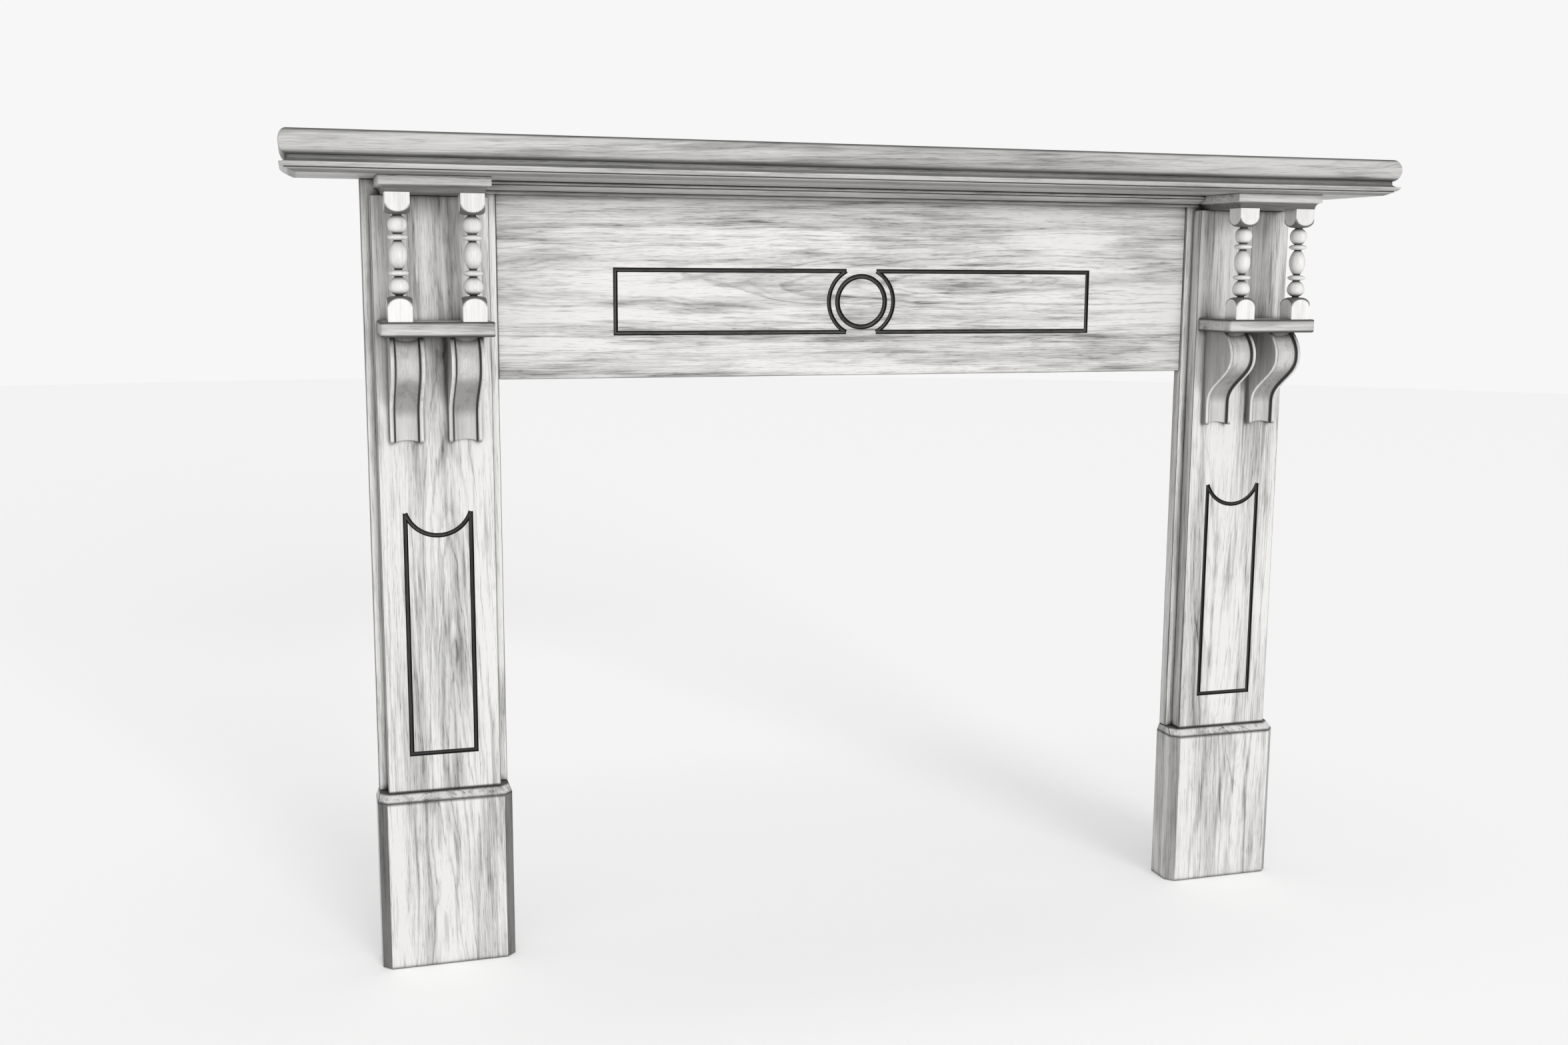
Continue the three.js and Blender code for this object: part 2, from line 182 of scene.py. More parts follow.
def loft(name, rings, closed=False):
    """A skin over rings of equal length, closed by a face at each end or round on itself."""
    count = len(rings[0])
    points = [point for ring in rings for point in ring]
    faces = []
    spans = len(rings) if closed else len(rings) - 1
    for ring in range(spans):
        here = ring * count
        there = ((ring + 1) % len(rings)) * count
        for i in range(count):
            j = (i + 1) % count
            faces.append((here + i, here + j, there + j, there + i))
    if not closed:
        faces.append(tuple(reversed(range(count))))
        faces.append(tuple(range(len(points) - count, len(points))))
    return mesh_object(name, points, faces)


def apply_modifiers(shape):
    """Keeps the modified mesh and drops the modifiers."""
    graph = bpy.context.evaluated_depsgraph_get()
    mesh = bpy.data.meshes.new_from_object(shape.evaluated_get(graph))
    shape.modifiers.clear()
    old = shape.data
    shape.data = mesh
    bpy.data.meshes.remove(old)


def ease_edges(shape, angle=30):
    """Rounds every edge that turns by more than an angle in degrees."""
    bevel = shape.modifiers.new("edges", "BEVEL")
    bevel.width = BEVEL
    bevel.segments = 3
    bevel.limit_method = "ANGLE"
    bevel.angle_limit = math.radians(angle)
    apply_modifiers(shape)


def cut(shape, cutter):
    """Takes the cutter out of the shape, and removes the cutter."""
    boolean = shape.modifiers.new("cut", "BOOLEAN")
    boolean.operation = "DIFFERENCE"
    boolean.solver = "EXACT"
    boolean.object = cutter
    apply_modifiers(shape)
    bpy.data.objects.remove(cutter)


def box(name, low, high):
    rings = [
        [(low[0], low[1], z), (high[0], low[1], z), (high[0], high[1], z), (low[0], high[1], z)]
        for z in (low[2], high[2])
    ]
    return loft(name, rings)


def moulded_board(node, levels, corner=MITRE_ROUND):
    """A board against the wall whose front and two ends follow one profile of (height, inset)."""
    low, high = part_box(node)
    run = MITRE_RUN
    rings = []
    for z, inset in levels:
        left, right, front = low.x + inset, high.x - inset, low.y + inset
        ring = [(left, high.y, z), (left, front + corner + run, z)]
        for centre_x, start in ((left + corner, math.pi), (right - corner, 1.5 * math.pi)):
            for i in range(MITRE_STEPS + 1):
                angle = start + math.pi / 2 * i / MITRE_STEPS
                x = centre_x + corner * math.cos(angle)
                ring.append((x, front + corner + corner * math.sin(angle), z))
            if start == math.pi:
                ring.append((left + corner + run, front, z))
                ring.append((right - corner - run, front, z))
        ring += [(right, front + corner + run, z), (right, high.y, z)]
        rings.append(ring)
    return loft(node, rings)


def rimmed(levels):
    """Adds a ring on the flat face at each end of a profile, so that painted shade can stay by its
    edge.
    """
    bottom, top = levels[0], levels[-1]
    return [(bottom[0], bottom[1] + SHADE_BAND)] + levels + [(top[0], top[1] + SHADE_BAND)]


def groove(line, face, closed=False, width=GROOVE_WIDTH):
    """A cutter for a groove with eased lips, along [x, z] points on a face that looks to -Y."""
    clearance = 1 * MM
    mouth = width / 2 + GROOVE_LIP
    lip = GROOVE_LIP * 0.6
    wall, wall_depth = width * 0.42, GROOVE_DEPTH * 0.5
    floor, floor_depth = width * 0.28, GROOVE_DEPTH * 0.88
    section = [
        (-mouth - clearance, -clearance),
        (mouth + clearance, -clearance),
        (mouth - lip, lip),
        (wall, wall_depth),
        (floor, floor_depth),
        (0, GROOVE_DEPTH),
        (-floor, floor_depth),
        (-wall, wall_depth),
        (-mouth + lip, lip),
    ]
    points = [Vector(point) for point in line]
    count = len(points)
    rings = []
    for i, point in enumerate(points):
        if closed:
            before = (point - points[i - 1]).normalized()
            after = (points[(i + 1) % count] - point).normalized()
        else:
            before = (points[max(i, 1)] - points[max(i, 1) - 1]).normalized()
            after = (points[min(i, count - 2) + 1] - points[min(i, count - 2)]).normalized()
        across = Vector((-before.y - after.y, before.x + after.x)) / (1 + before.dot(after))
        rings.append([
            (point.x + across.x * offset, face + depth, point.y + across.y * offset)
            for offset, depth in section
        ])
    return loft("groove", rings, closed)


def arc(centre, radius, start, end, steps):
    """Points along part of a circle."""
    return [
        (
            centre[0] + radius * math.cos(start + (end - start) * i / steps),
            centre[1] + radius * math.sin(start + (end - start) * i / steps),
        )
        for i in range(steps + 1)
    ]


# Boards and mouldings

def shelf_slab(node):
    low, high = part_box(node)
    half = (high.z - low.z) / 2
    steps = 24
    levels = []
    for i in range(steps + 1):
        angle = math.pi * (i / steps - 0.5)
        inset = SLAB_NOSE_DEPTH * (1 - math.cos(angle))
        levels.append((low.z + half + half * math.sin(angle), inset))
    return moulded_board(node, rimmed(levels))


def shelf_moulding(node):
    """From the bottom: a round underside, a soft nose, a cove and a fillet under the slab."""
    low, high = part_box(node)
    nose = high.z - MOULDING_NOSE_DROP
    undercut_power = 1.6
    quirk, quirk_lip = 1.6 * MM, 0.8 * MM
    levels = []
    for i in range(MOULDING_STEPS + 1):
        fall = 1 - i / MOULDING_STEPS
        z = low.z + (nose - low.z) * (1 - fall)
        inset = MOULDING_UNDERCUT * fall ** undercut_power
        if i == MOULDING_QUIRK_STEP:
            levels.append((z - quirk * 0.45, inset + 0.1 * MM))
            levels.append((z, inset + quirk))
            levels.append((z + quirk * 0.3, inset + quirk))
            levels.append((z + quirk * 0.45, inset - quirk_lip))
        else:
            levels.append((z, inset))
    tip, cove_top = 0.8 * MM, high.z - MOULDING_FILLET
    levels.append((nose + tip * 0.7, tip * 0.3))
    levels.append((nose + tip, tip))
    cove_height = cove_top - nose - tip
    cove_depth = MOULDING_FILLET_INSET - tip
    cove_steps = 8
    for i in range(1, cove_steps + 1):
        angle = math.pi / 2 * i / cove_steps
        z = nose + tip + cove_height * (1 - math.cos(angle))
        levels.append((z, tip + cove_depth * math.sin(angle)))
    levels.append((high.z, MOULDING_FILLET_INSET))
    return moulded_board(node, rimmed(levels))


def cap(node):
    """From the bottom: a cove, a small step and an upright fascia."""
    low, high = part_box(node)
    cove_height = high.z - CAP_FASCIA - low.z
    ease = 0.6 * MM
    steps = 8
    levels = []
    for i in range(steps + 1):
        angle = math.pi / 2 * i / steps
        inset = CAP_STEP + CAP_COVE * math.cos(angle)
        levels.append((low.z + cove_height * math.sin(angle), inset))
    fascia = high.z - CAP_FASCIA
    levels += [
        (fascia, ease),
        (fascia + ease * 0.3, ease * 0.3),
        (fascia + ease, 0),
        (high.z - ease, 0),
        (high.z, ease),
    ]
    return moulded_board(node, rimmed(levels))


def small_shelf(node):
    low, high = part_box(node)
    ease = SMALL_SHELF_EASE
    steps = 4
    levels = []
    for i in range(steps + 1):
        angle = math.pi / 2 * i / steps
        levels.append((low.z + ease * (1 - math.cos(angle)), ease * (1 - math.sin(angle))))
    levels += [(low.z + SHADE_BAND, 0), (high.z - SHADE_BAND, 0)]
    for i in range(steps + 1):
        angle = math.pi / 2 * i / steps
        levels.append((high.z - ease * (1 - math.sin(angle)), ease * (1 - math.cos(angle))))
    return moulded_board(node, rimmed(levels), corner=SMALL_SHELF_CORNER)


def plain_board(node):
    shape = box(node, *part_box(node))
    ease_edges(shape)
    return shape


def frieze_board(node):
    shape = plain_board(node)
    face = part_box(node)[0].y
    half_width = FRIEZE_LINES["half_width"]
    half_height = FRIEZE_LINES["half_height"]
    centre = (0, FRIEZE_LINES["centre"])
    meeting = math.sqrt(OUTER_RING_RADIUS ** 2 - half_height ** 2)
    spread = math.acos(meeting / OUTER_RING_RADIUS)
    for side in SIDES.values():
        frame_line = [
            (side * meeting, centre[1] + half_height),
            (side * half_width, centre[1] + half_height),
            (side * half_width, centre[1] - half_height),
            (side * meeting, centre[1] - half_height),
        ]
        facing = 0 if side > 0 else math.pi
        cut(shape, groove(frame_line, face))
        ring_side = arc(centre, OUTER_RING_RADIUS, facing - spread, facing + spread, 48)
        cut(shape, groove(ring_side, face))
    ring = arc(centre, RING_RADIUS, 0, 2 * math.pi, 96)[:-1]
    cut(shape, groove(ring, face, closed=True, width=RING_GROOVE_WIDTH))
    return shape


def pilaster(node):
    shape = plain_board(node)
    low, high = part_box(node)
    middle = (low.x + high.x) / 2
    half = PANEL_LINES["half_width"]
    top, bottom, scoop = PANEL_LINES["top"], PANEL_LINES["bottom"], PANEL_LINES["scoop"]
    radius = (half * half + scoop * scoop) / (2 * scoop)
    spread = math.asin(half / radius)
    sides = [
        (middle - half, top),
        (middle - half, bottom),
        (middle + half, bottom),
        (middle + half, top),
    ]
    down = -math.pi / 2
    scoop_line = arc((middle, top - scoop + radius), radius, down - spread, down + spread, 40)
    cut(shape, groove(sides, low.y))
    cut(shape, groove(scoop_line, low.y))
    return ringed(shape, low.z + 0.5 * SHADE_BAND, low.z + SHADE_BAND)


def plinth(node):
    low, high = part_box(node)
    side = node.split("_")[0]
    stile_low, stile_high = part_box(f"{side}_stile")
    pilaster_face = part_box(f"{side}_pilaster")[0].y

    def outline(left, right, front, z):
        return [
            (left, high.y, z),
            (left, front + PLINTH_CHAMFER, z),
            (left + PLINTH_CHAMFER, front, z),
            (right - PLINTH_CHAMFER, front, z),
            (right, front + PLINTH_CHAMFER, z),
            (right, high.y, z),
        ]

    shoulder = high.z - PLINTH_BEVEL_HEIGHT
    bevel_parts = (0, 0.25, 0.75, 1)
    rings = [
        outline(low.x, high.x, low.y, low.z),
        outline(low.x, high.x, low.y, low.z + SHADE_BAND),
        outline(low.x, high.x, low.y, shoulder - SHADE_BAND),
    ]
    for part in bevel_parts:
        left = low.x + (stile_low.x - low.x) * part
        right = high.x + (stile_high.x - high.x) * part
        front = low.y + (pilaster_face - low.y) * part
        rings.append(outline(left, right, front, shoulder + PLINTH_BEVEL_HEIGHT * part))
    shape = loft(node, rings)
    ease_edges(shape, angle=20)
    return shape


def ringed(shape, *heights):
    """Adds level rings of vertices, so that painted shade can end there."""
    built = bmesh.new()
    built.from_mesh(shape.data)
    for height in heights:
        parts = built.verts[:] + built.edges[:] + built.faces[:]
        bmesh.ops.bisect_plane(built, geom=parts, plane_co=(0, 0, height), plane_no=(0, 0, 1))
    built.to_mesh(shape.data)
    built.free()
    return shape


def bed_mould(node):
    """From the bottom: a band, a quirk, an ogee, a second quirk and a round nose."""
    low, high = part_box(node)
    back = high.y
    reach = back - low.y
    quirk, slot, swell = 1.4 * MM, BED_MOULD_SLOT, 2 * MM
    band, nose = BED_MOULD_BAND, BED_MOULD_NOSE
    inner, outer = 8 * MM, reach - swell
    section = [(back, low.z), (back - inner, low.z), (back - inner, low.z + band)]
    quirk_depth = back - inner + quirk
    section += [(quirk_depth, low.z + band), (quirk_depth, low.z + band + slot)]
    ogee_steps, ogee_start = 10, -0.3
    for i in range(ogee_steps + 1):
        forward = inner + (outer - inner) * smoothstep(i / ogee_steps, ogee_start, 1)
        height = band + slot + (nose - band - slot) * i / ogee_steps
        section.append((back - forward, low.z + height))
    quirk_depth = back - outer + quirk
    section += [(quirk_depth, low.z + nose), (quirk_depth, low.z + nose + slot)]
    round_low, round_steps = nose + slot, 8
    for i in range(round_steps + 1):
        angle = math.pi * i / round_steps
        forward = outer + swell * math.sin(angle)
        height = round_low + (high.z - low.z - round_low) * (1 - math.cos(angle)) / 2
        section.append((back - forward, low.z + height))
    section.append((back, high.z))
    shape = loft(node, [[(x, y, z) for y, z in section] for x in (low.x, high.x)])
    spare = 1 * MM
    for side, sign in SIDES.items():
        stile_low, stile_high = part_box(f"{side}_stile")
        edge = stile_high.x if sign < 0 else stile_low.x
        end = low.x - spare if sign < 0 else high.x + spare
        corners = sorted((edge, end))
        notch_low = (corners[0], stile_low.y, low.z - spare)
        notch_high = (corners[1], back + spare, high.z + spare)
        cut(shape, box("notch", notch_low, notch_high))
    return shape


# Turned and carved pieces

# Curves of half a bead: its radius is the belly times (1 - part ** bend) ** power
ROUND = (2.0, 0.5)
DROP = (2.0, 0.65)
OLIVE = (2.0, 0.7)


def bead(bottom, height, belly, neck, lower, upper, widest=0.5):
    """Points (height, radius) over one turned bead, which ends where its curve meets the neck."""
    points = []
    steps = 28
    for i in range(steps + 1):
        turn = -math.cos(math.pi * i / steps)
        bend, power = lower if turn < 0 else upper
        span = widest if turn < 0 else 1 - widest
        meeting = (1 - (neck / belly) ** (1 / power)) ** (1 / bend)
        radius = belly * (1 - abs(meeting * turn) ** bend) ** power
        points.append((bottom + height * (widest + span * turn), radius))
    return points


def shoulder_radius(rise, block_corner):
    """Radius of a block's turned shoulder at a height above the shoulder's start."""
    part = min(max(rise / SPINDLE_SHOULDER, 0), 1) ** (1 / SHOULDER_SWEEP)
    return SPINDLE_COLLAR + (block_corner - SPINDLE_COLLAR) * math.sqrt(1 - part * part)


def spindle_outline(length, block_corner):
    """Points (height, radius) from the foot of a spindle to its top."""
    neck, waist = SPINDLE_NECK, SPINDLE_WAIST
    lower_ball = {
        "height": 25 * MM,
        "belly": 13.8 * MM,
        "neck": waist,
        "lower": ROUND,
        "upper": DROP,
        "widest": 0.42,
    }
    ring = {"height": 8.5 * MM, "belly": 14 * MM, "neck": neck, "lower": ROUND, "upper": ROUND}
    olive = {"height": 39 * MM, "belly": 12.6 * MM, "neck": waist, "lower": OLIVE, "upper": OLIVE}
    upper_ball = {
        "height": 24.5 * MM,
        "belly": 13.4 * MM,
        "neck": neck,
        "lower": ROUND,
        "upper": ROUND,
    }
    fillet = 0.2 * MM
    curve = []
    steps = 30
    for i in range(steps + 1):
        angle = math.pi / 2 * i / steps
        radius = SPINDLE_COLLAR + (block_corner - SPINDLE_COLLAR) * math.cos(angle)
        curve.append((SPINDLE_SHOULDER * math.sin(angle) ** SHOULDER_SWEEP, radius))
    outline = [(0, block_corner)]
    outline += [(SPINDLE_LOWER_BLOCK - SPINDLE_SHOULDER + z, radius) for z, radius in curve]
    outline.append((SPINDLE_LOWER_BLOCK + fillet, neck))
    height = SPINDLE_LOWER_BLOCK + SPINDLE_FIRST_BEAD
    for turned in (lower_ball, ring, olive, ring, upper_ball):
        outline += bead(bottom=height, **turned)
        height += turned["height"] + SPINDLE_GAP
    top = length - SPINDLE_UPPER_BLOCK
    outline.append((top - fillet, neck))
    outline += [(top + SPINDLE_SHOULDER - z, radius) for z, radius in reversed(curve)]
    outline.append((length, block_corner))
    return outline


def spindle(node):
    """A turned outline that is cut back to a square section wherever it is wider than the blocks."""
    low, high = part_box(node)
    centre = (low + high) / 2
    half = (high.x - low.x) / 2
    softness = 0.35 * MM
    corner_power = 28
    per_quarter = 36
    # Points crowd together at the corners of the square
    crowding = 0.13
    angles = []
    for i in range(4 * per_quarter):
        quarter, part = divmod(i, per_quarter)
        spread = part / per_quarter
        eased = spread + crowding * math.sin(4 * math.pi * spread) / 2
        angles.append(math.pi / 2 * (quarter + eased))
    rings = []
    for z, radius in spindle_outline(high.z - low.z, half * BLOCK_CORNER):
        ring = []
        for angle in angles:
            across = abs(math.cos(angle)) ** corner_power + abs(math.sin(angle)) ** corner_power
            square = half / across ** (1 / corner_power)
            gap = (square - radius) / softness
            blend = softness * math.log1p(math.exp(-abs(gap)))
            reach = min(square, radius) - blend
            ring.append((
                centre.x + reach * math.cos(angle),
                centre.y + reach * math.sin(angle),
                low.z + z,
            ))
        rings.append(ring)
    return loft(node, rings)


def bracket_reach(z):
    """How far a bracket's edge stands out from the pilaster at a height."""
    tail, full, tail_top, belly = 13 * MM, 79 * MM, 824 * MM, 908 * MM
    crown_drop, top = 22 * MM, 945 * MM
    part = min(max((z - tail_top) / (belly - tail_top), 0), 1)
    rise = part ** 3 * (10 - 15 * part + 6 * part * part)
    crown = max(z - belly, 0) / (top - belly)
    return tail + (full - tail) * rise - crown_drop * crown ** 2


def bracket(node):
    """Side-on slices from one side to the other, with a flute between two flat fillets."""
    low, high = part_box(node)
    middle = (low.x + high.x) / 2
    half = (high.x - low.x) / 2
    fillet = FLUTE_FILLET
    depth, quirk, ease = 9 * MM, 2 * MM, 1.0 * MM
    arch, lobe = 5 * MM, 1.5 * MM
    flute_power, arch_power = 0.7, 0.8
    inner = half - fillet
    ease_steps, flute_steps = 5, 28
    offsets = [
        half - ease * (1 - math.cos(math.pi / 2 * i / ease_steps))
        for i in range(ease_steps + 1)
    ]
    offsets += [inner + fillet * 0.5, inner + fillet * 0.2]
    edge_side = len(offsets) + 1
    offsets.append(inner + 0.3 * MM)
    offsets += [inner * math.cos(math.pi * i / flute_steps) for i in range(flute_steps + 1)]
    offsets += [-offset for offset in reversed(offsets[:edge_side])]
    steps = 90
    slope_step = 0.5 * MM
    rings = []
    for offset in offsets:
        part = min(abs(offset) / inner, 1)
        flute = 0
        if abs(offset) <= inner * 1.0001:
            flute = quirk + (depth - quirk) * (1 - part ** 2) ** flute_power
        edge = max(abs(offset) - (half - ease), 0) / ease
        rounding = ease * (1 - math.sqrt(max(1 - edge * edge, 0)))
        across = max(abs(offset) - inner, 0) / fillet * 2 - 1
        foot = low.z + lobe + (arch - lobe) * (1 - part ** 2) ** arch_power
        if abs(offset) >= inner:
            foot = low.z + lobe * across * across
        slice_points = [(middle + offset, high.y, foot)]
        for i in range(steps + 1):
            z = foot + (high.z - foot) * i / steps
            lean = (bracket_reach(z + slope_step) - bracket_reach(z - slope_step)) / (2 * slope_step)
            length = math.hypot(1, lean)
            inset = flute + rounding
            y = high.y - bracket_reach(z) + inset / length
            slice_points.append((middle + offset, y, min(z + inset * lean / length, high.z)))
        slice_points.append((middle + offset, slice_points[-1][1], high.z))
        slice_points.append((middle + offset, high.y, high.z))
        rings.append(slice_points)
    return loft(node, rings)


# Oak

def srgb(red, green, blue):
    """A linear colour from the 0 to 255 values of a screen colour."""
    linear = [
        value / 255 / 12.92 if value <= 10 else ((value / 255 + 0.055) / 1.055) ** 2.4
        for value in (red, green, blue)
    ]
    return (*linear, 1)


# Colour of the painted shade and glazing, and how the painted shade from occlusion fades out
SHADE_AND_GLAZING_COLOUR = srgb(22, 21, 20)
OCCLUSION_SHADE_FADE = [(0.2, 1.0), (0.5, 0.6), (0.75, 0.15), (0.92, 0.0)]

# Distance between year rings, and how dark the wood gets over one year
RING_WIDTH = 3.4 * MM
LATE_WOOD = [(0.0, 0.5), (0.3, 0.0), (0.62, 0.1), (0.85, 1.0), (0.93, 0.9), (1.0, 0.5)]

# Waves in the rings: how fine they are across and along the log, and how far they reach in metres
WAVES = ((6, 1.5, 0.035), (40, 11, 0.006), (220, 45, 0.0014))

# How far each feature of the grain goes towards the dark colour
GRAIN = {
    "late wood": 0.3,
    "dashes": 0.34,
    "strokes": 0.34,
    "fibre": 0.5,
    "streaks": 0.9,
    "pores": 0.22,
    "patches": 0.8,
}


class Graph:
    """Short calls that build one material's nodes."""

    def __init__(self, name):
        self.material = bpy.data.materials.new(name)
        self.material.use_nodes = True
        self.nodes = self.material.node_tree.nodes
        self.links = self.material.node_tree.links
        self.shader = self.nodes["Principled BSDF"]

    def plug(self, socket, value):
        if isinstance(value, bpy.types.NodeSocket):
            self.links.new(value, socket)
        else:
            socket.default_value = value

    def add(self, kind, values, output=0, **settings):
        node = self.nodes.new(kind)
        for key, setting in settings.items():
            setattr(node, key, setting)
        for key, value in values.items():
            self.plug(node.inputs[key], value)
        return node.outputs[output]

    def math(self, operation, first, second=0.0, third=0.0, clamp=False):
        values = {0: first, 1: second, 2: third}
        return self.add("ShaderNodeMath", values, operation=operation, use_clamp=clamp)

    def vector(self, operation, first, second=(0, 0, 0)):
        return self.add("ShaderNodeVectorMath", {0: first, 1: second}, operation=operation)

    def noise(self, vector, scale, detail=2.0, roughness=0.5):
        values = {"Vector": vector, "Scale": scale, "Detail": detail, "Roughness": roughness}
        return self.add("ShaderNodeTexNoise", values)

    def mix(self, factor, first, second):
        node = self.nodes.new("ShaderNodeMix")
        node.data_type = "RGBA"
        self.plug(node.inputs[0], factor)
        self.plug(node.inputs[6], first)
        self.plug(node.inputs[7], second)
        return node.outputs[2]

    def contrast(self, value, slope, start):
        """Spreads a narrow range of a noise over 0 to 1."""
        return self.math("MULTIPLY_ADD", value, slope, start, clamp=True)

    def ramp(self, value, stops):
        node = self.nodes.new("ShaderNodeValToRGB")
        elements = node.color_ramp.elements
        while len(elements) < len(stops):
            elements.new(0.5)
        for element, (position, level) in zip(elements, stops):
            element.position = position
            element.color = (level, level, level, 1)
        self.plug(node.inputs[0], value)
        return node.outputs[0]

    def attribute(self, name, output):
        return self.add("ShaderNodeAttribute", {}, output=output, attribute_name=name)


def oak(name, light, dark, figure):
    """Limed oak. The grain attribute is a place in the log: rings lie round its Z axis."""
    graph = Graph(name)
    place = graph.attribute("grain", "Vector")
    painted_shade_and_glazing = graph.attribute("painted_shade_and_glazing", "Fac")

    def stretched(across, along):
        return graph.vector("MULTIPLY", place, (across, across, along))

    def shift(vector, amount):
        values = {"Vector": vector, "Scale": 1.0, "Detail": 2.0}
        moved = graph.add("ShaderNodeTexNoise", values, output=1)
        moved = graph.vector("SUBTRACT", moved, (0.5, 0.5, 0.5))
        return graph.vector("MULTIPLY", moved, (amount, amount, 0))

    # Rings that waver along the log
    warped = place
    for across, along, amount in WAVES:
        warped = graph.vector("ADD", warped, shift(stretched(across, along), amount))
    flat = graph.vector("MULTIPLY", warped, (1, 1, 0))
    radius = graph.add("ShaderNodeVectorMath", {0: flat}, output=1, operation="LENGTH")

    rings = graph.math("DIVIDE", radius, RING_WIDTH)
    spacing = graph.noise(graph.add("ShaderNodeCombineXYZ", {"X": rings}), 0.37, 1.0)
    rings = graph.math("MULTIPLY_ADD", spacing, 2.6, rings)
    phase = graph.math("FRACT", rings)
    late = graph.ramp(phase, LATE_WOOD)
    ring_number = {"W": graph.math("FLOOR", rings)}
    year = graph.add("ShaderNodeTexWhiteNoise", ring_number, noise_dimensions="1D")
    late = graph.math("MULTIPLY", late, graph.math("MULTIPLY_ADD", year, 0.8, 0.2))

    # Marks along the grain, each longer along the log than across it
    fibre = graph.noise(stretched(420, 9), 1.0, 3.0, 0.6)
    dashes = graph.contrast(graph.noise(stretched(170, 7), 1.0, 2.0, 0.55), 6.0, -3.2)
    where = graph.contrast(graph.noise(stretched(14, 2.4), 1.0, 1.0), 4.0, -1.7)
    dashes = graph.math("MULTIPLY", dashes, where)
    pores = graph.contrast(graph.noise(stretched(1100, 40), 1.0, 1.0), 9.0, -5.2)
    streaks = graph.noise(stretched(46, 1.8), 1.0, 2.0)
    strokes = graph.contrast(graph.noise(stretched(105, 7), 1.0, 2.0, 0.6), 4.5, -2.15)
    patches = graph.noise(stretched(16, 3), 1.0, 2.0)

    features = [
        ("late wood", late),
        ("dashes", dashes),
        ("strokes", strokes),
        ("fibre", graph.math("SUBTRACT", fibre, 0.5)),
        ("streaks", graph.math("SUBTRACT", streaks, 0.5)),
        ("pores", pores),
        ("patches", graph.math("SUBTRACT", patches, 0.45)),
    ]
    amount = 0.0
    for feature, value in features:
        last = feature == "patches"
        amount = graph.math("MULTIPLY_ADD", value, GRAIN[feature] * figure, amount, clamp=last)
    colour = graph.mix(amount, light, dark)

    # Painted shade from ambient occlusion in corners and between pieces, plus the stored shade and
    # glazing
    reach = {"Distance": OCCLUSION_SHADE_REACH}
    darkening = graph.add("ShaderNodeAmbientOcclusion", reach, output=1, samples=6)
    darkening = graph.ramp(darkening, OCCLUSION_SHADE_FADE)
    darkening = graph.math("MAXIMUM", painted_shade_and_glazing, darkening, clamp=True)
    colour = graph.mix(darkening, colour, SHADE_AND_GLAZING_COLOUR)
    graph.plug(graph.shader.inputs["Base Color"], colour)

    graph.shader.inputs["Specular IOR Level"].default_value = 0.35
    graph.shader.inputs["Coat Weight"].default_value = 0.12
    graph.shader.inputs["Coat Roughness"].default_value = 0.3
    rough = graph.math("MULTIPLY_ADD", pores, 0.25, 0.38)
    graph.plug(graph.shader.inputs["Roughness"], graph.math("MULTIPLY_ADD", fibre, 0.14, rough))
    relief = graph.math("MULTIPLY_ADD", pores, -0.8, graph.math("MULTIPLY", fibre, 0.4))
    relief = graph.math("MULTIPLY_ADD", late, 0.3, relief)
    values = {"Strength": 0.4, "Distance": 0.4 * MM, "Height": relief}
    graph.plug(graph.shader.inputs["Normal"], graph.add("ShaderNodeBump", values))
    return graph.material


FINISHES = {
    "shelf_oak": oak("shelf_oak", srgb(206, 205, 203), srgb(70, 69, 67), figure=0.9),
    "board_oak": oak("board_oak", srgb(230, 229, 227), srgb(76, 75, 73), figure=1.15),
    "carved_oak": oak("carved_oak", srgb(222, 221, 219), srgb(90, 89, 87), figure=0.6),
    "turned_oak": oak("turned_oak", srgb(236, 235, 233), srgb(112, 111, 109), figure=0.4),
}


def lay_grain(shape, node, along, face):
    """Stores each vertex's place in the log that its board was sawn from.

    along is the axis that the grain follows. face is the axis that the board's wide face looks along.
    """
    chance = random.Random(node)
    low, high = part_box(node)
    middle = (low + high) / 2
    across = 3 - along - face
    pith_depth = chance.uniform(0.05, 0.09)
    pith_offset = chance.uniform(-0.03, 0.03)
    lean_depth = chance.choice((-1, 1)) * chance.uniform(0.012, 0.03)
    lean_across = chance.uniform(-0.02, 0.02)
    start = chance.uniform(0, 40)
    values = []
    for vertex in shape.data.vertices:
        place = vertex.co - middle
        run = place[along]
        values += [
            place[across] - pith_offset - lean_across * run,
            place[face] + pith_depth + lean_depth * run,
            run + start,
        ]
    grain = shape.data.attributes.new("grain", "FLOAT_VECTOR", "POINT")
    grain.data.foreach_set("vector", values)


def lay_shade_and_glazing(shape, darkness):
    """Stores how dark the painted shade and glazing are at each vertex, from a function of its place.
    """
    painted_shade_and_glazing = shape.data.attributes.new("painted_shade_and_glazing", "FLOAT", "POINT")
    painted_shade_and_glazing.data.foreach_set("value", [darkness(vertex.co) for vertex in shape.data.vertices])


def unglazed(node):
    return lambda place: 0.0


def between(value, low, high, soft):
    """1 from low to high, and 0 outside them, with soft edges."""
    return smoothstep(value, low - soft, low) * (1 - smoothstep(value, high, high + soft))


def near_rim(place, low, high, start, end):
    """1 up to a distance in from a board's front and ends, and 0 beyond the end of that band."""
    inset = min(place.y - low.y, place.x - low.x, high.x - place.x)
    return 1 - smoothstep(inset, start, end)


def in_grooves(node):
    """Painted shade at the bottom of the lines cut into a board's front face."""
    low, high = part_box(node)
    face, margin = low.y, 3 * MM

    def darkness(place):
        across = low.x + margin < place.x < high.x - margin
        upright = low.z + margin < place.z < high.z - margin
        if not (across and upright) or place.y > face + GROOVE_DEPTH * 1.2:
            return 0.0
        return smoothstep(place.y, face + 0.05 * MM, face + GROOVE_LIP * 0.6)

    return darkness


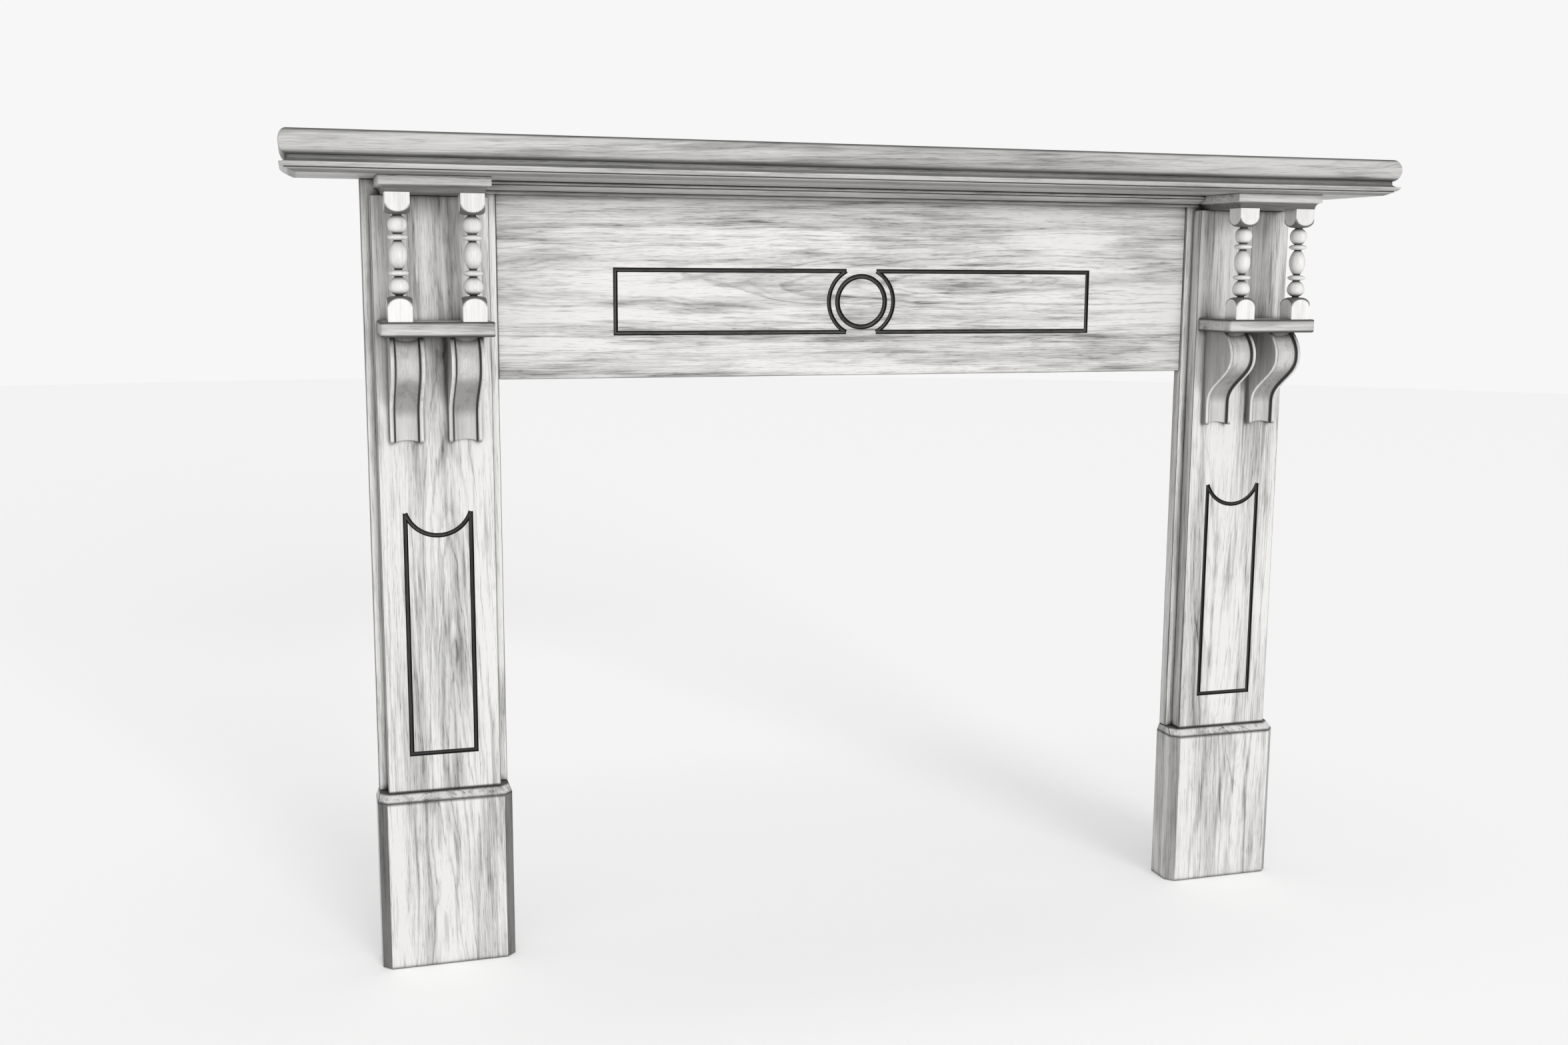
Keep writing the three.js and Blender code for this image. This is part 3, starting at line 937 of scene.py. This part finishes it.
def in_moulding(node):
    """Painted shade in the cove of the shelf's moulding and along its fillet, quirk and underside."""
    low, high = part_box(node)
    nose = high.z - MOULDING_NOSE_DROP
    fillet = high.z - MOULDING_FILLET
    line = low.z + (nose - low.z) * MOULDING_QUIRK_STEP / MOULDING_STEPS

    def darkness(place):
        cove = SHADE_AND_GLAZING["moulding cove"] * between(place.z, nose + 1.5 * MM, fillet, 1 * MM)
        top = SHADE_AND_GLAZING["moulding top"] * between(place.z, high.z - 0.5 * MM, high.z + MM, 0.5 * MM)
        rim = near_rim(place, low, high, MOULDING_UNDERCUT, MOULDING_UNDERCUT + SHADE_BAND)
        under = SHADE_AND_GLAZING["moulding underside"] + SHADE_AND_GLAZING["moulding rim"] * rim
        under *= between(place.z, low.z - MM, low.z + 2.5 * MM, 3 * MM)
        quirk = between(place.z, line - 0.1 * MM, line + 0.5 * MM, 0.3 * MM)
        return max(cove, top, under, SHADE_AND_GLAZING["moulding quirk"] * quirk)

    return darkness


def in_bed_mould(node):
    """Painted shade along the quirks of the bed mould."""
    low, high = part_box(node)
    middle = BED_MOULD_SLOT / 2
    lines = (low.z + BED_MOULD_BAND + middle, low.z + BED_MOULD_NOSE + middle)

    def darkness(place):
        quirks = [between(place.z, line - 0.5 * MM, line + 0.5 * MM, 0.8 * MM) for line in lines]
        return SHADE_AND_GLAZING["bed mould quirk"] * max(quirks)

    return darkness


def in_cap_cove(node):
    """Painted shade in the cove below a cap's fascia."""
    low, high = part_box(node)
    fascia = high.z - CAP_FASCIA

    def darkness(place):
        return SHADE_AND_GLAZING["cap cove"] * between(place.z, low.z - MM, fascia - 1.5 * MM, 1.5 * MM)

    return darkness


def on_pilaster(node):
    """Painted shade in a pilaster's lines and along its foot, over an even glazing on its face."""
    low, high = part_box(node)
    lines = in_grooves(node)

    def darkness(place):
        foot = 1 - smoothstep(place.z, low.z + 0.5 * SHADE_BAND, low.z + SHADE_BAND)
        return max(lines(place), SHADE_AND_GLAZING["pilaster foot"] * foot, SHADE_AND_GLAZING["pilaster face"])

    return darkness


def in_slab(node):
    """Painted shade along the top and bottom edges of the slab's round nose, over an even glazing."""
    low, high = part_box(node)

    def darkness(place):
        rim = near_rim(place, low, high, SLAB_NOSE_DEPTH, SLAB_NOSE_DEPTH + SHADE_BAND)
        bottom = SHADE_AND_GLAZING["slab bottom"] * (1 - smoothstep(place.z, low.z + MM, low.z + 8 * MM))
        top = SHADE_AND_GLAZING["slab top"] * smoothstep(place.z, high.z - 5 * MM, high.z - 1.5 * MM)
        return max(max(bottom, top) * rim, SHADE_AND_GLAZING["slab face"])

    return darkness


def in_small_shelf(node):
    """Painted shade along the edges of a small shelf, over an even glazing on its face."""
    low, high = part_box(node)

    def darkness(place):
        edge = min(place.z - low.z, high.z - place.z)
        rim = near_rim(place, low, high, SMALL_SHELF_EASE, SHADE_BAND)
        line = SHADE_AND_GLAZING["small shelf flat"] + SHADE_AND_GLAZING["small shelf rim"] * rim
        return SHADE_AND_GLAZING["small shelf face"] + line * (1 - smoothstep(edge, 1.5 * MM, SHADE_BAND))

    return darkness


def on_turning(node):
    """Painted shade in a spindle's necks, towards its bead ends and on its blocks' turned shoulders.
    """
    low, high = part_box(node)
    centre = (low + high) / 2
    half = (high.x - low.x) / 2
    lower_top = low.z + SPINDLE_LOWER_BLOCK
    upper_bottom = high.z - SPINDLE_UPPER_BLOCK

    def darkness(place):
        radius = math.hypot(place.x - centre.x, place.y - centre.y)
        if lower_top < place.z < upper_bottom:
            neck = SHADE_AND_GLAZING["bead neck"] * (1 - smoothstep(radius, *NECK_RADII))
            return max(neck, SHADE_AND_GLAZING["bead end"] * (1 - smoothstep(radius, *BEAD_END_RADII)))
        if place.z < centre.z:
            rise = place.z - lower_top + SPINDLE_SHOULDER
        else:
            rise = upper_bottom + SPINDLE_SHOULDER - place.z
        inside = shoulder_radius(rise, half * BLOCK_CORNER) - radius
        line = (1 - smoothstep(inside, 0.4 * MM, 2.6 * MM)) * smoothstep(rise, 0, 0.5 * MM)
        return SHADE_AND_GLAZING["block shoulder"] * line

    return darkness


def on_plinth(node):
    """Painted shade on a plinth's chamfers, foot and top; glazing along its bevel and on its faces.
    """
    low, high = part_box(node)
    shoulder = high.z - PLINTH_BEVEL_HEIGHT
    # Painted shade on the chamfers, which turn from the light: darker on the left plinth
    chamfer_shade = SHADE_AND_GLAZING[f"{node.split('_')[0]} chamfer"]

    def darkness(place):
        front = place.y - low.y
        side = min(place.x - low.x, high.x - place.x)
        on_chamfer = front + side < PLINTH_CHAMFER + 2 * MM and place.z < shoulder
        off_faces = min(front, side) > 0.2 * MM
        chamfer = chamfer_shade if on_chamfer and off_faces else 0.0
        edge = between(place.z, shoulder - MM, shoulder + 0.5 * MM, 1.5 * MM)
        foot = 1 - smoothstep(place.z, low.z, low.z + SHADE_BAND)
        top = smoothstep(place.z, high.z - 2 * MM, high.z - 0.5 * MM)
        return max(
            chamfer,
            SHADE_AND_GLAZING["plinth shoulder"] * edge,
            SHADE_AND_GLAZING["plinth foot"] * foot,
            SHADE_AND_GLAZING["plinth top"] * top,
            SHADE_AND_GLAZING["plinth face"],
        )

    return darkness


def on_bracket(node):
    """Painted shade in a bracket's flute, in the quirks beside it, under the shelf, at its foot and
    on the flanks.
    """
    low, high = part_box(node)
    middle = (low.x + high.x) / 2
    half = (high.x - low.x) / 2
    flute_edge = half - FLUTE_FILLET
    hollow_bottom, hollow_top = low.z + 52 * MM, low.z + 82 * MM

    def darkness(place):
        offset = abs(place.x - middle)
        quirk = between(offset, flute_edge - 1.6 * MM, flute_edge + 0.1 * MM, 1.8 * MM)
        crown = smoothstep(place.z, high.z - 26 * MM, high.z)
        foot = 1 - smoothstep(place.z, low.z + MM, low.z + 6 * MM)
        inside = 1 - smoothstep(offset, flute_edge - MM, flute_edge)
        hollow = between(place.z, hollow_bottom, hollow_top, 26 * MM) * inside
        flank = smoothstep(offset, half - 0.4 * MM, half - 0.05 * MM)
        return max(
            SHADE_AND_GLAZING["flute quirk"] * quirk,
            SHADE_AND_GLAZING["bracket crown"] * crown,
            SHADE_AND_GLAZING["bracket foot"] * foot,
            SHADE_AND_GLAZING["flute hollow"] * hollow,
            SHADE_AND_GLAZING["bracket flank"] * flank,
            SHADE_AND_GLAZING["flute face"] * inside,
        )

    return darkness


def glaze_arrises(shape):
    """Darkens the narrow strips along a board's edges, where a dark glazing has gathered."""
    widths = {}
    for face in shape.data.polygons:
        points = [shape.data.vertices[i].co for i in face.vertices]
        longest = max((points[i] - points[i - 1]).length for i in range(len(points)))
        width = face.area / longest
        for i in face.vertices:
            widths[i] = max(widths.get(i, 0), width)
    painted_shade_and_glazing = shape.data.attributes["painted_shade_and_glazing"].data
    for i, width in widths.items():
        if width < ARRIS_WIDTH:
            painted_shade_and_glazing[i].value = max(painted_shade_and_glazing[i].value, SHADE_AND_GLAZING["arris"])


def dress(node, build, along, face, shading_rule=unglazed):
    """Builds a piece, gives it its oak, and sets it in the place of its solid."""
    parts = frame["record"]["subparts"]
    slot = next(part["material_slot"] for part in parts if part["node"] == node)
    shape = build(node)
    shape.name = f"oak_{node}"
    shape.data.name = shape.name
    lay_grain(shape, node, along, face)
    # Stores the painted shade and glazing that the piece's rule gives each vertex
    lay_shade_and_glazing(shape, shading_rule(node))
    if slot == "board_oak":
        glaze_arrises(shape)
    shape.data.materials.clear()
    shape.data.materials.append(FINISHES[slot])
    faces = shape.data.polygons
    faces.foreach_set("use_smooth", [len(f.vertices) <= 4 and f.area < FLAT_AREA for f in faces])
    shape.data.set_sharp_from_angle(angle=math.radians(SHARP_ANGLE))
    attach(shape, "root")
    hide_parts(node)


# The mantelpiece

dress("shelf_slab", shelf_slab, X, Z, in_slab)
dress("shelf_moulding", shelf_moulding, X, Z, in_moulding)
dress("frieze_board", frieze_board, X, Y, in_grooves)
dress("bed_mould", bed_mould, X, Y, in_bed_mould)

for side in SIDES:
    dress(f"{side}_plinth", plinth, Z, Y, on_plinth)
    dress(f"{side}_stile", plain_board, Z, Y)
    dress(f"{side}_pilaster", pilaster, Z, Y, on_pilaster)
    dress(f"{side}_cap", cap, X, Z, in_cap_cove)
    dress(f"{side}_small_shelf", small_shelf, X, Z, in_small_shelf)
    for place in PLACES:
        dress(f"{side}_spindle_{place}", spindle, Z, X, on_turning)
        dress(f"{side}_bracket_{place}", bracket, Z, X, on_bracket)


# Floor, light and camera

FLOOR_RADIUS = 14.0
FLOOR_SIDES = 96
FLOOR_COLOUR = (0.9, 0.9, 0.9, 1)
FLOOR_GLOW = 0.18
AMBIENT_STRENGTH = 0.34
BACKDROP_COLOUR = (0.93, 0.93, 0.93, 1)
KEY_SUN = {"heading": 12, "height": 13, "softness": 24, "strength": 1.55}
OVERHEAD_SUN = {"heading": 0, "height": 80, "softness": 60, "strength": 1.15}


def pale_floor():
    radius, count = FLOOR_RADIUS, FLOOR_SIDES
    ring = [
        (radius * math.cos(2 * math.pi * i / count), radius * math.sin(2 * math.pi * i / count), 0)
        for i in range(count)
    ]
    floor = mesh_object("floor", ring, [tuple(range(count))])
    graph = Graph("floor")
    graph.shader.inputs["Base Color"].default_value = FLOOR_COLOUR
    graph.shader.inputs["Roughness"].default_value = 0.9
    graph.shader.inputs["Emission Color"].default_value = (1, 1, 1, 1)
    graph.shader.inputs["Emission Strength"].default_value = FLOOR_GLOW
    floor.data.materials.append(graph.material)


def soft_sun(name, heading, height, softness, strength):
    """An even light over the whole scene. heading turns it to the right from straight in front."""
    light = bpy.data.lights.new(name, "SUN")
    light.angle = math.radians(softness)
    light.energy = strength
    lamp = bpy.data.objects.new(name, light)
    bpy.context.scene.collection.objects.link(lamp)
    turn, lift = math.radians(heading), math.radians(height)
    level = math.cos(lift)
    source = Vector((math.sin(turn) * level, -math.cos(turn) * level, math.sin(lift)))
    lamp.rotation_euler = (-source).to_track_quat("-Z", "Y").to_euler()


def studio():
    world = bpy.data.worlds.new("studio")
    world.use_nodes = True
    nodes = world.node_tree.nodes
    links = world.node_tree.links
    ambient = nodes["Background"]
    ambient.inputs["Color"].default_value = (1, 1, 1, 1)
    ambient.inputs["Strength"].default_value = AMBIENT_STRENGTH
    backdrop = nodes.new("ShaderNodeBackground")
    backdrop.inputs["Color"].default_value = BACKDROP_COLOUR
    seen = nodes.new("ShaderNodeLightPath")
    chosen = nodes.new("ShaderNodeMixShader")
    links.new(seen.outputs["Is Camera Ray"], chosen.inputs[0])
    links.new(ambient.outputs[0], chosen.inputs[1])
    links.new(backdrop.outputs[0], chosen.inputs[2])
    links.new(chosen.outputs[0], nodes["World Output"].inputs["Surface"])
    bpy.context.scene.world = world
    soft_sun("key", **KEY_SUN)
    soft_sun("overhead", **OVERHEAD_SUN)
    bpy.context.scene.view_settings.view_transform = "Standard"


CAMERA_PLACE = (-0.845, -2.339, 1.0344)
CAMERA_YAW, CAMERA_PITCH, CAMERA_ROLL = 16.675, 8.733, -0.324
FOCAL_LENGTH, SENSOR_WIDTH = 37.19, 36


def camera():
    """The drawing's viewpoint: left of the middle, just below the shelf, and turned right."""
    yaw, pitch, roll = (math.radians(angle) for angle in (CAMERA_YAW, CAMERA_PITCH, CAMERA_ROLL))
    level = math.cos(pitch)
    forward = Vector((math.sin(yaw) * level, math.cos(yaw) * level, -math.sin(pitch)))
    right = Vector((math.cos(yaw), -math.sin(yaw), 0))
    down = forward.cross(right)
    turned_right = right * math.cos(roll) + down * math.sin(roll)
    turned_down = down * math.cos(roll) - right * math.sin(roll)
    lens = bpy.data.cameras.new("camera")
    lens.sensor_fit = "HORIZONTAL"
    lens.sensor_width = SENSOR_WIDTH
    lens.lens = FOCAL_LENGTH
    lens.clip_end = 60
    view = bpy.data.objects.new("camera", lens)
    bpy.context.scene.collection.objects.link(view)
    axes = Matrix((turned_right, -turned_down, -forward)).transposed().to_4x4()
    view.matrix_world = Matrix.Translation(CAMERA_PLACE) @ axes
    bpy.context.scene.camera = view


pale_floor()
studio()
camera()
